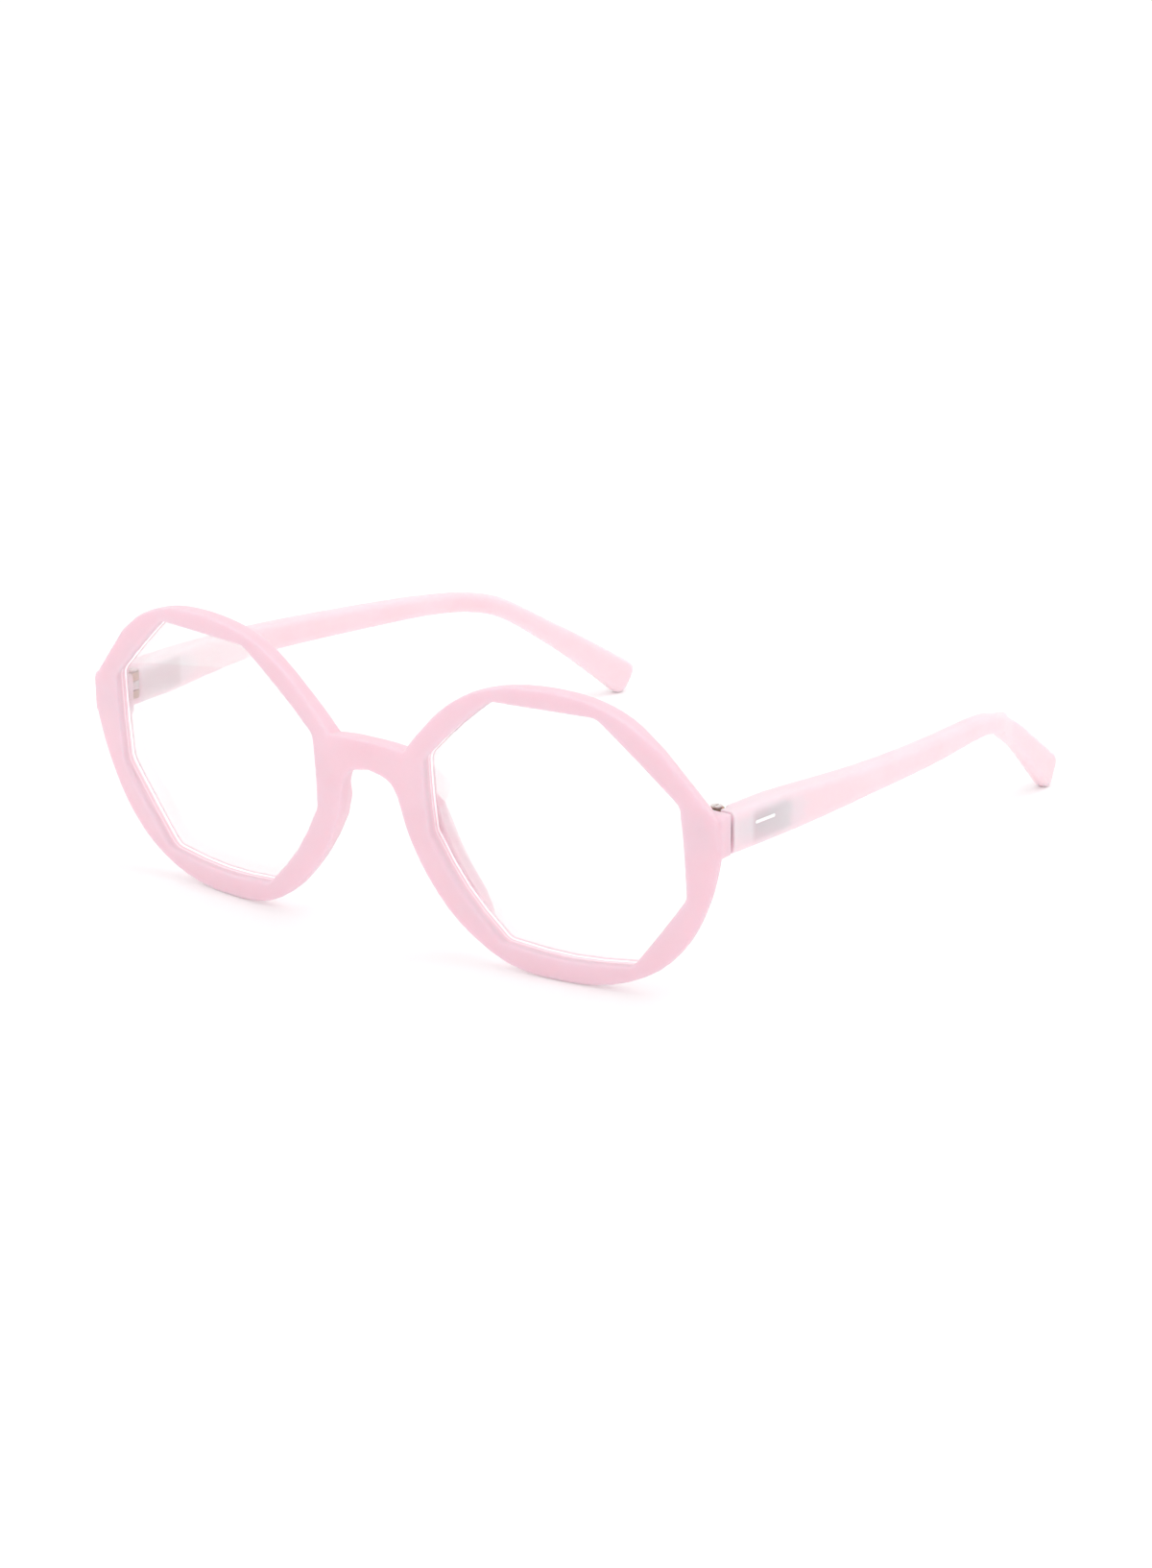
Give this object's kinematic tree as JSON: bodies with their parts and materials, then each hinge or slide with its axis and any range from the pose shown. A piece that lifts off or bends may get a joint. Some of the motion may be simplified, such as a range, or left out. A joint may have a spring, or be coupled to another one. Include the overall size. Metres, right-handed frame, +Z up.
{
  "type": "blue light glasses",
  "caption": "Round-rimmed eyeglasses with octagonal flat lenses, moulded nose pads and temples that fold and flex on sprung hinges.",
  "frame": {"origin": "middle of the bounding box's bottom, on the surface that the glasses stand on", "axes": "+Z up, the front faces -Y, the temples point to +Y, and +X is the wearer's left"},
  "size_m": [0.139, 0.1436, 0.0529],
  "materials": {
    "front_plastic": "milky translucent pink, satin matte",
    "temple_plastic": "milky translucent pink, lighter where thin, satin matte",
    "lens": "clear, with a faint anti-reflective coating",
    "hinge_bronze": "dark bronze plating",
    "hinge_steel": "plain drawn steel",
    "screw_steel": "turned steel",
    "spring_steel": "bright spring wire"
  },
  "bodies": {
    "front": {"front_frame": "front_plastic", "left_lens": "lens", "right_lens": "lens", "left_front_hinge": "hinge_bronze", "right_front_hinge": "hinge_bronze", "left_hinge_screw": "screw_steel", "right_hinge_screw": "screw_steel"},
    "left_core": {"left_hinge_slider": "hinge_steel", "left_spring_collar": "screw_steel"},
    "left_arm": {"left_temple": "temple_plastic", "left_spring_housing": "hinge_steel", "left_coil_spring": "spring_steel", "left_temple_peg": "screw_steel"},
    "right_core": {"right_hinge_slider": "hinge_steel", "right_spring_collar": "screw_steel"},
    "right_arm": {"right_temple": "temple_plastic", "right_spring_housing": "hinge_steel", "right_coil_spring": "spring_steel", "right_temple_peg": "screw_steel"}
  },
  "joints": [
    {"name": "left_fold", "type": "hinge", "parent": "front", "child": "left_core", "pos_m": [0.0636, -0.0584, 0.03205], "axis": [0, 0, 1], "range_deg": [-7, 82]},
    {"name": "left_flex", "type": "slide", "parent": "left_core", "child": "left_arm", "axis": [0.04, 0.9988, -0.03], "range_m": [0, 0.001], "stiffness_N_per_m": 1500, "springref_m": -0.001, "deforming": ["left_coil_spring"]},
    {"name": "right_fold", "type": "hinge", "parent": "front", "child": "right_core", "pos_m": [-0.0636, -0.0584, 0.03205], "axis": [0, 0, -1], "range_deg": [-7, 75]},
    {"name": "right_flex", "type": "slide", "parent": "right_core", "child": "right_arm", "axis": [-0.04, 0.9988, -0.03], "range_m": [0, 0.001], "stiffness_N_per_m": 1500, "springref_m": -0.001, "deforming": ["right_coil_spring"]}
  ]
}
